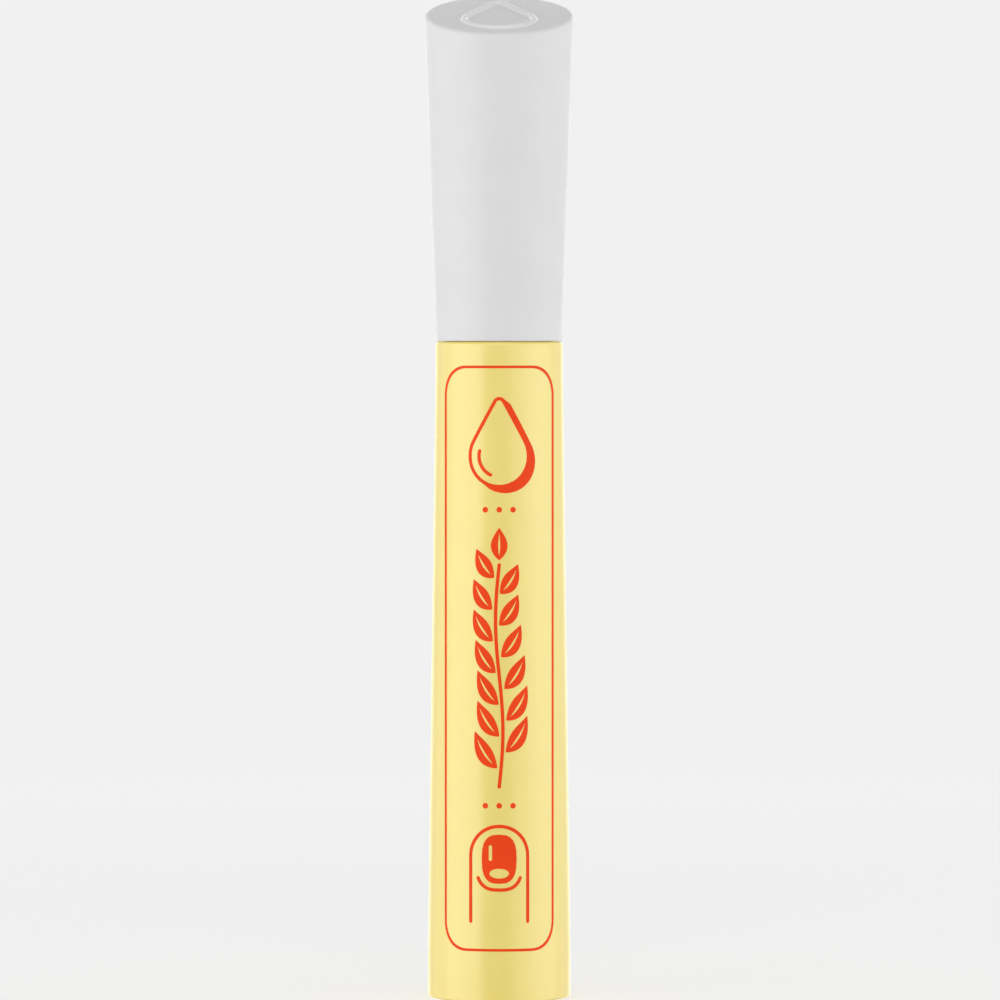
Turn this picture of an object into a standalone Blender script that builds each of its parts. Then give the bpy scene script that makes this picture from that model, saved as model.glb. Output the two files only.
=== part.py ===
"""Cuticle remover pen: a capped felt-tip pen whose barrel holds a fibre reservoir.

Metres, +Z up. The pen stands on its base, with the origin at the centre of the base
and its axis along Z. The printed side, the low edge of the cap's slanted top and the
slant of the nib all face -Y.

Each moulded piece is made as its mould makes it: a turned outside, and a core cut out
of it. A rib is a slot in the core, so it stays as plastic.
"""

import math

import bmesh
import bpy
from mathutils import Matrix, Vector

MM = 0.001

# Outside shape
BARREL_LENGTH = 80.45 * MM
BARREL_COLLAR = 4.0 * MM
BASE_BAND = 5.4 * MM
WAIST_DIAMETER = 15.6 * MM
BASE_DIAMETER = 17.5 * MM
BASE_EDGE_RADIUS = 0.3 * MM
BARREL_LIP_RADIUS = 0.4 * MM
CAP_LENGTH = 39.7 * MM
CAP_COLLAR = 1.4 * MM
CAP_FLARE = math.radians(2.02)
CAP_TOP_SLANT = math.radians(17.5)
CAP_EDGE_RADIUS = 0.5 * MM
LIP_RADIUS = 0.18 * MM
INNER_EDGE_RADIUS = 0.36 * MM

# Clearances
SEAM_GAP = 0.2 * MM
FIT_GAP = 0.2 * MM
CAP_RUNNING_GAP = 0.4 * MM
BEAD_PASSING_GAP = 0.06 * MM

# Barrel
BARREL_WALL = 1.25 * MM
BASE_WALL = 1.5 * MM
RESERVOIR_RIB_COUNT = 6
RESERVOIR_RIB_WIDTH = 0.9 * MM

# Snap beads that hold the nose and the plug in the barrel
SNAP_BEAD_HEIGHT = 0.25 * MM
SNAP_BEAD_LENGTH = 1.0 * MM
NOSE_SNAP_DEPTH = 6.0 * MM
PLUG_SNAP_RISE = 2.8 * MM

# End plug
PLUG_RECESS = 0.5 * MM
PLUG_FLANGE_STEP = 0.35 * MM
PLUG_FLOOR = 1.1 * MM
PLUG_SKIRT_LENGTH = 5.4 * MM
PLUG_SKIRT_WALL = 1.0 * MM
PLUG_VANE_COUNT = 4
PLUG_VANE_WIDTH = 0.8 * MM
PLUG_VANE_HEIGHT = 2.0 * MM
GATE_DISH_DIAMETER = 4.4 * MM
GATE_DISH_DEPTH = 0.3 * MM

# Reservoir
WRAP_THICKNESS = 0.2 * MM
NIB_SOCKET_DEPTH = 10.0 * MM

# Nose section
NOSE_SEAT_DEPTH = 12.0 * MM
NOSE_FLANGE_STEP = 0.45 * MM
NOSE_FLANGE_THICKNESS = 0.85 * MM
NOSE_WALL = 1.1 * MM
NECK_LENGTH = 9.0 * MM
SHOULDER_LENGTH = 2.6 * MM
SHOULDER_RADIUS = 0.72 * MM
TUBE_FOOT_WALL = 1.65 * MM
TUBE_DRAFT = math.radians(2.7)
NOSE_STOP_COUNT = 4
NOSE_STOP_WIDTH = 0.8 * MM
NOSE_STOP_HEIGHT = 3.0 * MM
VENT_COUNT = 4
VENT_WIDTH = 0.8 * MM
VENT_DEPTH = 0.4 * MM

# Beads that click past each other when the cap goes on or off
CLICK_BEAD_HEIGHT = 0.17 * MM
CLICK_BEAD_LENGTH = 1.1 * MM
CLICK_BEAD_RISE = 6.0 * MM
CLICK_BEAD_STEP = 1.3 * MM

# Nib
NIB_DIAMETER = 5.0 * MM
NIB_EXPOSED_LENGTH = 7.0 * MM
NIB_TAPER_LENGTH = 5.2 * MM
NIB_TAPER = math.radians(6)
NIB_SLANT = math.radians(38)
NIB_EDGE_RADIUS = 0.3 * MM
NIB_TAIL_LENGTH = 2.5 * MM
NIB_TAIL_DIAMETER = 2.6 * MM

# Cap
CAP_WALL = 1.05 * MM
CAP_TOP_THICKNESS = 2.0 * MM
CAP_BORE_DRAFT = math.radians(0.25)
CAP_LEAD_IN = 0.25 * MM
CAP_LEAD_IN_LENGTH = 0.5 * MM
CAP_CEILING_RADIUS = 0.4 * MM
CAP_RIB_COUNT = 8
CAP_RIB_WIDTH = 0.9 * MM

# Inner cap
LINER_WALL = 0.75 * MM
LINER_TOP_THICKNESS = 0.8 * MM
LINER_TOP_GAP = 0.4 * MM
LINER_FLANGE_THICKNESS = 0.9 * MM
LINER_PLAY = 0.25 * MM
LINER_SEAL_LENGTH = 1.2 * MM
LINER_SEAL_RISE = 2.6 * MM
LINER_HEADROOM = 5.0 * MM
LINER_CORNER_RADIUS = 0.6 * MM
LINER_LEAD_IN = 0.18 * MM
LINER_LEAD_IN_LENGTH = 0.36 * MM

# How far a cutter reaches past what it cuts
CUT_MARGIN = 1.0 * MM

# Facets
SEGMENTS = 48
ARC_STEPS = 3
BEAD_STEPS = 4
SMOOTH_ANGLE = math.radians(30)
MERGE_DISTANCE = 0.0005 * MM

# Radii that several pieces share
waist_radius = WAIST_DIAMETER / 2
base_radius = BASE_DIAMETER / 2
barrel_bore = waist_radius - BARREL_WALL
base_bore = base_radius - BASE_WALL
insert_radius = barrel_bore - FIT_GAP
nose_bore = insert_radius - NOSE_WALL
wrap_radius = nose_bore - FIT_GAP
core_radius = wrap_radius - WRAP_THICKNESS - FIT_GAP
cap_bore = waist_radius - CAP_WALL
neck_radius = cap_bore - CAP_RUNNING_GAP
nib_radius = NIB_DIAMETER / 2
nib_bore = nib_radius + FIT_GAP
tube_foot_radius = nib_bore + TUBE_FOOT_WALL
liner_bore = tube_foot_radius + LINER_PLAY
liner_radius = liner_bore + LINER_WALL

# Heights that several pieces share, from the base up
plug_floor_z = PLUG_RECESS + PLUG_FLOOR
plug_snap_z = plug_floor_z + PLUG_SNAP_RISE
plug_vane_top_z = plug_floor_z + PLUG_VANE_HEIGHT
plug_top_z = plug_floor_z + PLUG_SKIRT_LENGTH
reservoir_bottom_z = plug_vane_top_z + FIT_GAP
nose_bottom_z = BARREL_LENGTH - NOSE_SEAT_DEPTH
nose_snap_z = BARREL_LENGTH - NOSE_SNAP_DEPTH
nose_flange_z = BARREL_LENGTH - NOSE_FLANGE_THICKNESS
neck_top_z = BARREL_LENGTH + NECK_LENGTH
cavity_top_z = neck_top_z - NOSE_WALL
shoulder_top_z = neck_top_z + SHOULDER_LENGTH
reservoir_top_z = cavity_top_z - NOSE_STOP_HEIGHT
socket_bottom_z = reservoir_top_z - NIB_SOCKET_DEPTH
click_z = BARREL_LENGTH + CLICK_BEAD_RISE
cap_mouth_z = BARREL_LENGTH + SEAM_GAP
cap_collar_top_z = cap_mouth_z + CAP_COLLAR
liner_mouth_z = shoulder_top_z + FIT_GAP
liner_shelf_z = liner_mouth_z + LINER_FLANGE_THICKNESS
liner_seal_z = liner_mouth_z + LINER_SEAL_RISE

# The cap's top and its ceiling are slanted. Their heights are taken on the axis.
cap_top_z = cap_mouth_z + CAP_LENGTH
cap_ceiling_z = cap_top_z - CAP_TOP_THICKNESS / math.cos(CAP_TOP_SLANT)

# The inner cap and the nib reach as far up into the cap as its ceiling allows
liner_top_z = cap_ceiling_z - liner_radius * math.tan(CAP_TOP_SLANT) - LINER_TOP_GAP
liner_ceiling_z = liner_top_z - LINER_TOP_THICKNESS
nib_tip_z = liner_ceiling_z - LINER_HEADROOM
tube_top_z = nib_tip_z - NIB_EXPOSED_LENGTH


def cap_side_radius(z):
    """The cap's outer radius above its collar."""
    return waist_radius + (z - cap_collar_top_z) * math.tan(CAP_FLARE)


def tube_radius(z):
    """The outer radius of the nose's tube."""
    return tube_foot_radius - (z - shoulder_top_z) * math.tan(TUBE_DRAFT)


def clear_scene():
    for obj in list(bpy.data.objects):
        bpy.data.objects.remove(obj)


def finish(name, colour, roughness, alpha=1.0):
    """A plain Principled material."""
    made = bpy.data.materials.new(name)
    made.use_nodes = True
    shader = made.node_tree.nodes["Principled BSDF"]
    shader.inputs["Base Color"].default_value = (*colour, 1.0)
    shader.inputs["Roughness"].default_value = roughness
    shader.inputs["Metallic"].default_value = 0.0
    shader.inputs["Alpha"].default_value = alpha
    return made


def filleted(corners):
    """Points of an outline whose corners are (r, z), or (r, z, fillet radius)."""
    points = []
    for i, corner in enumerate(corners):
        here = Vector(corner[:2])
        if len(corner) == 2:
            points.append(here)
            continue
        before = Vector(corners[i - 1][:2]) - here
        after = Vector(corners[i + 1][:2]) - here
        half_angle = before.angle(after) / 2
        room = min(before.length, after.length) / 2
        setback = min(corner[2] / math.tan(half_angle), room)
        radius = setback * math.tan(half_angle)
        bisector = (before.normalized() + after.normalized()).normalized()
        centre = here + bisector * (radius / math.sin(half_angle))
        first = here + before.normalized() * setback - centre
        last = here + after.normalized() * setback - centre
        turn = -first.angle_signed(last)
        for step in range(ARC_STEPS + 1):
            points.append(centre + Matrix.Rotation(turn * step / ARC_STEPS, 2) @ first)
    return points


def bead(radius, height, length, centre_z):
    """A rounded ring along a wall, from below it to above it. A negative height stands inward."""
    points = []
    for i in range(BEAD_STEPS + 1):
        share = i / BEAD_STEPS
        points.append((radius + height * math.sin(math.pi * share), centre_z + length * (share - 0.5)))
    return points


def linked(name, form, material):
    """Makes a bmesh an object of the scene. One with no material is a cutter."""
    bmesh.ops.recalc_face_normals(form, faces=form.faces)
    mesh = bpy.data.meshes.new(name)
    form.to_mesh(mesh)
    form.free()
    mesh.shade_smooth()
    mesh.set_sharp_from_angle(angle=SMOOTH_ANGLE)
    obj = bpy.data.objects.new(name, mesh)
    bpy.context.scene.collection.objects.link(obj)
    if material:
        mesh.materials.append(material)
    else:
        obj.hide_render = True
        obj.display_type = "WIRE"
    return obj


def turned_form(outline):
    """Turns an outline of (r, z) points about Z. One that starts on the axis also ends there."""
    form = bmesh.new()
    points = [form.verts.new((p[0], 0.0, p[1])) for p in outline]
    pairs = list(zip(points, points[1:]))
    if outline[0][0] > 0:
        pairs.append((points[-1], points[0]))
    edges = [form.edges.new(pair) for pair in pairs]
    bmesh.ops.spin(
        form,
        geom=points + edges,
        cent=(0, 0, 0),
        axis=(0, 0, 1),
        angle=2 * math.pi,
        steps=SEGMENTS,
        use_merge=True,
    )
    bmesh.ops.remove_doubles(form, verts=form.verts, dist=MERGE_DISTANCE)
    return form


def turned(name, outline, material=None):
    return linked(name, turned_form(outline), material)


def cut_on_slant(form, point, slant, edge_radius):
    """Takes off what is above a plane that falls towards -Y, and rounds the new rim."""
    cut_away = bmesh.ops.bisect_plane(
        form,
        geom=form.verts[:] + form.edges[:] + form.faces[:],
        plane_co=point,
        plane_no=(0, -math.sin(slant), math.cos(slant)),
        clear_outer=True,
    )
    rim = [piece for piece in cut_away["geom_cut"] if isinstance(piece, bmesh.types.BMEdge)]
    bmesh.ops.contextual_create(form, geom=rim)
    bmesh.ops.bevel(
        form,
        geom=rim,
        offset=edge_radius,
        segments=ARC_STEPS,
        profile=0.5,
        affect="EDGES",
    )
    return form


def spokes(name, count, inner, outer, width, bottom, top):
    """Radial plates about Z that stop short of the axis, as a cutter."""
    form = bmesh.new()
    size = Matrix.Diagonal((outer - inner, width, top - bottom, 1))
    place = Matrix.Translation(((inner + outer) / 2, 0, (bottom + top) / 2))
    for i in range(count):
        turn = Matrix.Rotation(2 * math.pi * (i + 0.5) / count, 4, "Z")
        bmesh.ops.create_cube(form, size=1, matrix=turn @ place @ size)
    return linked(name, form, None)


def star(name, count, outer, width, bottom, top):
    """Vanes about Z that meet on the axis, as a cutter."""
    form = bmesh.new()
    inner = width / 2 / math.sin(math.pi / count)
    corners = []
    for i in range(count):
        turn = Matrix.Rotation(2 * math.pi * (i + 0.5) / count, 3, "Z")
        corners.append(turn @ Vector((outer, -width / 2, bottom)))
        corners.append(turn @ Vector((outer, width / 2, bottom)))
        turn = Matrix.Rotation(2 * math.pi * (i + 1) / count, 3, "Z")
        corners.append(turn @ Vector((inner, 0, bottom)))
    floor = form.faces.new([form.verts.new(corner) for corner in corners])
    raised = bmesh.ops.extrude_face_region(form, geom=[floor])
    upper = [piece for piece in raised["geom"] if isinstance(piece, bmesh.types.BMVert)]
    bmesh.ops.translate(form, verts=upper, vec=(0, 0, top - bottom))
    return linked(name, form, None)


def cut(obj, cutter):
    """Cuts one object out of another."""
    change = obj.modifiers.new(cutter.name, "BOOLEAN")
    change.operation = "DIFFERENCE"
    change.solver = "EXACT"
    change.object = cutter
    return obj


def make_barrel(material):
    """Waisted tube, open at both ends, ribbed inside to centre the reservoir."""
    flange_seat_radius = barrel_bore + NOSE_FLANGE_STEP
    plug_seat_radius = base_bore + PLUG_FLANGE_STEP
    groove_length = SNAP_BEAD_LENGTH + 2 * FIT_GAP
    barrel = turned(
        "barrel",
        filleted(
            [
                (0, 0),
                (base_radius, 0, BASE_EDGE_RADIUS),
                (base_radius, BASE_BAND),
                (waist_radius, BARREL_LENGTH - BARREL_COLLAR),
                (waist_radius, BARREL_LENGTH, BARREL_LIP_RADIUS),
                (0, BARREL_LENGTH),
            ]
        ),
        material,
    )
    core = turned(
        "barrel_core",
        [
            (0, -CUT_MARGIN),
            (plug_seat_radius, -CUT_MARGIN),
            (plug_seat_radius, plug_floor_z + FIT_GAP),
            (base_bore, plug_floor_z + FIT_GAP),
            *bead(base_bore, SNAP_BEAD_HEIGHT, groove_length, plug_snap_z),
            (base_bore, plug_top_z),
            (barrel_bore, nose_bottom_z),
            *bead(barrel_bore, SNAP_BEAD_HEIGHT, groove_length, nose_snap_z),
            (barrel_bore, nose_flange_z - FIT_GAP),
            (flange_seat_radius, nose_flange_z - FIT_GAP),
            (flange_seat_radius, BARREL_LENGTH + CUT_MARGIN),
            (0, BARREL_LENGTH + CUT_MARGIN),
        ],
    )
    ribs = spokes(
        "barrel_rib_slots",
        RESERVOIR_RIB_COUNT,
        wrap_radius + FIT_GAP,
        base_bore + CUT_MARGIN,
        RESERVOIR_RIB_WIDTH,
        plug_top_z + FIT_GAP,
        nose_bottom_z - FIT_GAP,
    )
    return cut(barrel, cut(core, ribs))


def make_end_plug(material):
    """Cup that snaps into the base. Its crossed vanes hold the reservoir up.

    The shallow dish in the middle of its face takes the mark that the mould's gate leaves.
    """
    dish_radius = GATE_DISH_DIAMETER / 2
    flange_radius = base_bore + PLUG_FLANGE_STEP - FIT_GAP
    skirt_radius = base_bore - FIT_GAP
    skirt_bore = skirt_radius - PLUG_SKIRT_WALL
    plug = turned(
        "end_plug",
        filleted(
            [
                (0, PLUG_RECESS + GATE_DISH_DEPTH),
                (dish_radius - GATE_DISH_DEPTH, PLUG_RECESS + GATE_DISH_DEPTH),
                (dish_radius, PLUG_RECESS),
                (flange_radius, PLUG_RECESS, LIP_RADIUS),
                (flange_radius, plug_floor_z),
                (skirt_radius, plug_floor_z),
                *bead(skirt_radius, SNAP_BEAD_HEIGHT, SNAP_BEAD_LENGTH, plug_snap_z),
                (skirt_radius, plug_top_z, INNER_EDGE_RADIUS),
                (0, plug_top_z),
            ]
        ),
        material,
    )
    core = turned(
        "end_plug_core",
        [
            (0, plug_floor_z),
            (skirt_bore, plug_floor_z),
            (skirt_bore, plug_top_z + CUT_MARGIN),
            (0, plug_top_z + CUT_MARGIN),
        ],
    )
    vanes = star(
        "end_plug_vane_slots",
        PLUG_VANE_COUNT,
        skirt_bore + CUT_MARGIN,
        PLUG_VANE_WIDTH,
        plug_floor_z - CUT_MARGIN,
        plug_vane_top_z,
    )
    return cut(plug, cut(core, vanes))


def make_reservoir_core(material):
    """Bonded fibre rod, with the socket that the nib's tail presses into it."""
    outline = [
        (0, reservoir_bottom_z),
        (core_radius, reservoir_bottom_z),
        (core_radius, reservoir_top_z),
        (nib_bore, reservoir_top_z),
        (nib_bore, socket_bottom_z),
        (0, socket_bottom_z),
    ]
    return turned("reservoir_core", outline, material)


def make_reservoir_wrap(material):
    """Film sleeve round the fibre rod, open at both ends."""
    inner = wrap_radius - WRAP_THICKNESS
    outline = [
        (inner, reservoir_bottom_z),
        (wrap_radius, reservoir_bottom_z),
        (wrap_radius, reservoir_top_z),
        (inner, reservoir_top_z),
    ]
    return turned("reservoir_wrap", outline, material)


def make_nose_section(material):
    """Front of the pen: insert, flange, neck, shoulder, and the vented tube that grips the nib."""
    flange_radius = barrel_bore + NOSE_FLANGE_STEP - FIT_GAP
    nose = turned(
        "nose_section",
        filleted(
            [
                (0, nose_bottom_z),
                (insert_radius, nose_bottom_z, INNER_EDGE_RADIUS),
                *bead(insert_radius, SNAP_BEAD_HEIGHT, SNAP_BEAD_LENGTH, nose_snap_z),
                (insert_radius, nose_flange_z),
                (flange_radius, nose_flange_z),
                (flange_radius, BARREL_LENGTH),
                (neck_radius, BARREL_LENGTH),
                *bead(neck_radius, CLICK_BEAD_HEIGHT, CLICK_BEAD_LENGTH, click_z),
                (neck_radius, neck_top_z, SHOULDER_RADIUS),
                (tube_foot_radius, shoulder_top_z, SHOULDER_RADIUS),
                (tube_radius(tube_top_z), tube_top_z, INNER_EDGE_RADIUS),
                (0, tube_top_z),
            ]
        ),
        material,
    )
    core = turned(
        "nose_core",
        [
            (0, nose_bottom_z - CUT_MARGIN),
            (nose_bore, nose_bottom_z - CUT_MARGIN),
            (nose_bore, cavity_top_z),
            (nib_bore, shoulder_top_z),
            (nib_bore, tube_top_z + CUT_MARGIN),
            (0, tube_top_z + CUT_MARGIN),
        ],
    )
    stops = spokes(
        "nose_stop_slots",
        NOSE_STOP_COUNT,
        nib_bore + NOSE_WALL,
        nose_bore + CUT_MARGIN,
        NOSE_STOP_WIDTH,
        reservoir_top_z + FIT_GAP,
        shoulder_top_z,
    )
    vents = spokes(
        "nose_vents",
        VENT_COUNT,
        nib_radius,
        nib_bore + VENT_DEPTH,
        VENT_WIDTH,
        cavity_top_z,
        tube_top_z + CUT_MARGIN,
    )
    return cut(cut(nose, cut(core, stops)), vents)


def make_nib(material):
    """Felt rod: a narrowed tail in the reservoir, and a tapered tip cut on a slant."""
    tail_z = socket_bottom_z + FIT_GAP
    taper_z = nib_tip_z - NIB_TAPER_LENGTH
    form_top_z = nib_tip_z + CUT_MARGIN
    tip_radius = nib_radius - NIB_TAPER_LENGTH * math.tan(NIB_TAPER)
    form_top_radius = tip_radius - CUT_MARGIN * math.tan(NIB_TAPER)
    outline = [
        (0, tail_z),
        (NIB_TAIL_DIAMETER / 2, tail_z),
        (nib_radius, tail_z + NIB_TAIL_LENGTH),
        (nib_radius, taper_z),
        (form_top_radius, form_top_z),
        (0, form_top_z),
    ]
    heel = (0, tip_radius, nib_tip_z)
    form = cut_on_slant(turned_form(outline), heel, NIB_SLANT, NIB_EDGE_RADIUS)
    return linked("nib", form, material)


def make_cap_shell(material):
    """Flared cap with a slanted top. Ribs inside it hold the inner cap."""
    form_top_z = cap_top_z + cap_side_radius(cap_top_z) * math.tan(CAP_TOP_SLANT) + CUT_MARGIN
    outside = filleted(
        [
            (0, cap_mouth_z),
            (waist_radius, cap_mouth_z, LIP_RADIUS),
            (waist_radius, cap_collar_top_z),
            (cap_side_radius(form_top_z), form_top_z),
            (0, form_top_z),
        ]
    )
    form = cut_on_slant(turned_form(outside), (0, 0, cap_top_z), CAP_TOP_SLANT, CAP_EDGE_RADIUS)
    shell = linked("cap_shell", form, material)
    click_height = CAP_RUNNING_GAP - CLICK_BEAD_HEIGHT - BEAD_PASSING_GAP
    draft = (form_top_z - liner_shelf_z) * math.tan(CAP_BORE_DRAFT)
    inside = [
        (0, cap_mouth_z - CUT_MARGIN),
        (cap_bore + CAP_LEAD_IN, cap_mouth_z - CUT_MARGIN),
        (cap_bore + CAP_LEAD_IN, cap_mouth_z),
        (cap_bore, cap_mouth_z + CAP_LEAD_IN_LENGTH),
        *bead(cap_bore, -click_height, CLICK_BEAD_LENGTH, click_z - CLICK_BEAD_STEP),
        (cap_bore, liner_shelf_z),
        (cap_bore - draft, form_top_z),
        (0, form_top_z),
    ]
    form = cut_on_slant(turned_form(inside), (0, 0, cap_ceiling_z), CAP_TOP_SLANT, CAP_CEILING_RADIUS)
    core = linked("cap_core", form, None)
    ribs = spokes(
        "cap_rib_slots",
        CAP_RIB_COUNT,
        liner_radius + FIT_GAP,
        cap_bore + CUT_MARGIN,
        CAP_RIB_WIDTH,
        liner_shelf_z + FIT_GAP,
        form_top_z,
    )
    return cut(shell, cut(core, ribs))


def make_inner_cap(material):
    """Soft liner in the cap. Its lip seals round the nose's tube, so that the nib stays wet."""
    flange_radius = cap_bore - FIT_GAP
    seal_height = liner_bore - tube_radius(liner_seal_z) - FIT_GAP
    liner = turned(
        "inner_cap",
        filleted(
            [
                (0, liner_mouth_z),
                (flange_radius, liner_mouth_z, LIP_RADIUS),
                (flange_radius, liner_shelf_z, LIP_RADIUS),
                (liner_radius, liner_shelf_z),
                (liner_radius, liner_top_z, LINER_CORNER_RADIUS),
                (0, liner_top_z),
            ]
        ),
        material,
    )
    core = turned(
        "inner_cap_core",
        filleted(
            [
                (0, liner_mouth_z - CUT_MARGIN),
                (liner_bore + LINER_LEAD_IN, liner_mouth_z - CUT_MARGIN),
                (liner_bore + LINER_LEAD_IN, liner_mouth_z),
                (liner_bore, liner_mouth_z + LINER_LEAD_IN_LENGTH),
                *bead(liner_bore, -seal_height, LINER_SEAL_LENGTH, liner_seal_z),
                (liner_bore, liner_ceiling_z, LINER_CORNER_RADIUS),
                (0, liner_ceiling_z),
            ]
        ),
    )
    return cut(liner, core)


def main():
    clear_scene()
    cap_white = finish("cap_white", (0.81, 0.81, 0.81), 0.45)
    barrel_yellow = finish("barrel_yellow", (0.89, 0.72, 0.16), 0.35)
    nose_white = finish("nose_white", (0.80, 0.80, 0.79), 0.4)
    liner_natural = finish("liner_natural", (0.84, 0.85, 0.83), 0.45)
    fibre = finish("reservoir_fibre", (0.88, 0.86, 0.78), 0.95)
    film = finish("reservoir_film", (0.92, 0.92, 0.92), 0.2, alpha=0.5)
    felt = finish("nib_felt", (0.87, 0.85, 0.79), 0.9)

    barrel = make_barrel(barrel_yellow)
    make_end_plug(barrel_yellow).parent = barrel
    make_reservoir_core(fibre).parent = barrel
    make_reservoir_wrap(film).parent = barrel
    make_nose_section(nose_white).parent = barrel
    make_nib(felt).parent = barrel

    # The cap slides off along Z, on the pen's axis
    cap_slide = bpy.data.objects.new("cap_slide", None)
    bpy.context.scene.collection.objects.link(cap_slide)
    make_cap_shell(cap_white).parent = cap_slide
    make_inner_cap(liner_natural).parent = cap_slide


main()
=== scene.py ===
"""Looks of the cuticle remover pen: fine moulded surfaces, printed front, felt nib, studio.

Metres, +Z up along the pen, printed front facing -Y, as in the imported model.
"""

import math

import bmesh
import bpy
from mathutils import Matrix, Vector
from mathutils.geometry import tessellate_polygon


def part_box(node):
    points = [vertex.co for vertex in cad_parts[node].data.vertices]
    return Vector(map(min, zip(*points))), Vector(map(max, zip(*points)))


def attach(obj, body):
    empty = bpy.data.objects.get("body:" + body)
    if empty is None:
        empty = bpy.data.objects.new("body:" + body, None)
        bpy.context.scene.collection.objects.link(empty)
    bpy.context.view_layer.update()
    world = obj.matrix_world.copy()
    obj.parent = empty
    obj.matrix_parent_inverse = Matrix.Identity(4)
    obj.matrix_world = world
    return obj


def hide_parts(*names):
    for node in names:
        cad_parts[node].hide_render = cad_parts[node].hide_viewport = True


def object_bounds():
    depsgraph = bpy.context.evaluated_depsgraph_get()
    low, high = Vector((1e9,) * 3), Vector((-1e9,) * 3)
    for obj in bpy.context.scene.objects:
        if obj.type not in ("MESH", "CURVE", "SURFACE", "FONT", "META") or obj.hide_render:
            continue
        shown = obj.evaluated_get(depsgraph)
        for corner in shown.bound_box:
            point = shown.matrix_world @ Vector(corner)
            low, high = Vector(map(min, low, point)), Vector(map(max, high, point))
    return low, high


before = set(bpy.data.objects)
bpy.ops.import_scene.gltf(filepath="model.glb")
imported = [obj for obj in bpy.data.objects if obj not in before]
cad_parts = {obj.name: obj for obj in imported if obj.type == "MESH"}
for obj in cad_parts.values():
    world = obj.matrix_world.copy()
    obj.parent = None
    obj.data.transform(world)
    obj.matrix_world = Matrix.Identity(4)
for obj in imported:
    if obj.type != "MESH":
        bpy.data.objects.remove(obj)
cad_low, cad_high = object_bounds()

MM = 0.001

# Facets of the fine surfaces
SEGMENTS = 192
ARC_STEPS = 8
BEAD_STEPS = 12
CURVE_STEPS = 24
RELIEF_STEPS = 12
SMOOTH_ANGLE = math.radians(28)
MERGE_DISTANCE = 0.0005 * MM

# Fits, cutters and shared radii
FIT_GAP = 0.2 * MM
CUT_MARGIN = 1.0 * MM
LIP_RADIUS = 0.18 * MM
INNER_EDGE_RADIUS = 0.36 * MM
TAPER_BLEND = 60 * MM

# Barrel
WAIST_RADIUS = 7.8 * MM
BARREL_WALL = 1.25 * MM
BASE_WALL = 1.5 * MM
BASE_BAND = 5.4 * MM
BARREL_COLLAR = 4.0 * MM
BASE_EDGE_RADIUS = 0.3 * MM

# End plug
PLUG_FLOOR = 1.1 * MM
PLUG_SKIRT_WALL = 1.0 * MM
GATE_DISH_RADIUS = 2.2 * MM
GATE_DISH_DEPTH = 0.3 * MM
GATE_RADIUS = 0.55 * MM
GATE_HEIGHT = 0.12 * MM

# Nose section
NOSE_WALL = 1.1 * MM
NOSE_FLANGE_THICKNESS = 0.85 * MM
NECK_RADIUS = 6.35 * MM
NECK_LENGTH = 9.0 * MM
SHOULDER_LENGTH = 2.6 * MM
SHOULDER_RADIUS = 0.72 * MM
TUBE_FOOT_RADIUS = 4.35 * MM
TUBE_DRAFT = math.radians(2.7)
VENT_COUNT = 4
VENT_WIDTH = 0.8 * MM
VENT_DEPTH = 0.4 * MM
CLICK_BEAD_HEIGHT = 0.17 * MM
CLICK_BEAD_LENGTH = 1.1 * MM
CLICK_BEAD_RISE = 6.0 * MM

# Nib
NIB_TAPER_LENGTH = 5.2 * MM
NIB_TAPER = math.radians(6)
NIB_SLANT = math.radians(38)
NIB_EDGE_RADIUS = 0.3 * MM
NIB_EXPOSED_LENGTH = 7.0 * MM
NIB_TAIL_LENGTH = 2.5 * MM
NIB_TAIL_RADIUS = 1.3 * MM

# Cap
CAP_BORE = 6.75 * MM
CAP_COLLAR = 1.4 * MM
CAP_FLARE = math.radians(2.02)
CAP_TOP_SLANT = math.radians(16.8)
CAP_TOP_HEIGHT = 120.43 * MM
CAP_TOP_THICKNESS = 2.0 * MM
CAP_EDGE_RADIUS = 0.5 * MM
CAP_CEILING_RADIUS = 0.4 * MM
CAP_LEAD_IN = 0.25 * MM
CAP_LEAD_IN_LENGTH = 0.5 * MM
CAP_CLICK_HEIGHT = 0.17 * MM
CAP_CLICK_RISE = 4.7 * MM

# Inner cap
LINER_BORE = 4.6 * MM
LINER_WALL = 0.75 * MM
LINER_TOP_THICKNESS = 0.8 * MM
LINER_FLANGE_THICKNESS = 0.9 * MM
LINER_CORNER_RADIUS = 0.6 * MM
LINER_SEAL_HEIGHT = 0.17 * MM
LINER_SEAL_LENGTH = 1.2 * MM
LINER_SEAL_RISE = 2.6 * MM

# Joint between cap and barrel
JOINT_GAP = 0.015 * MM
JOINT_DROP = 0.025 * MM
JOINT_LIP_RADIUS = 0.6 * MM
MOUTH_LIP_RADIUS = 0.2 * MM

# Relief on the cap's top
RELIEF_RADIUS = 4.25 * MM
RELIEF_LENGTH = 7.2 * MM
RELIEF_TIP_RADIUS = 0.8 * MM
RELIEF_SHIFT = -2.35 * MM
RELIEF_WIDTH = 1.1 * MM
RELIEF_HEIGHT = 0.38 * MM
RELIEF_FULLNESS = 0.7
RELIEF_ROOT = 0.05 * MM

# Print
INK_THICKNESS = 0.02 * MM
INK_SLICE = 0.4 * MM
INK_SLICE_ALONG = 4.0 * MM
FRAME_HALF_WIDTH = 7.74 * MM
FRAME_BOTTOM = 6.42 * MM
FRAME_TOP = 77.35 * MM
FRAME_LINE = 0.32 * MM
FRAME_SIDE_LINE = 0.43 * MM
FRAME_CORNER = 3.5 * MM
DRAWN_LINE = 0.42 * MM

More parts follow.
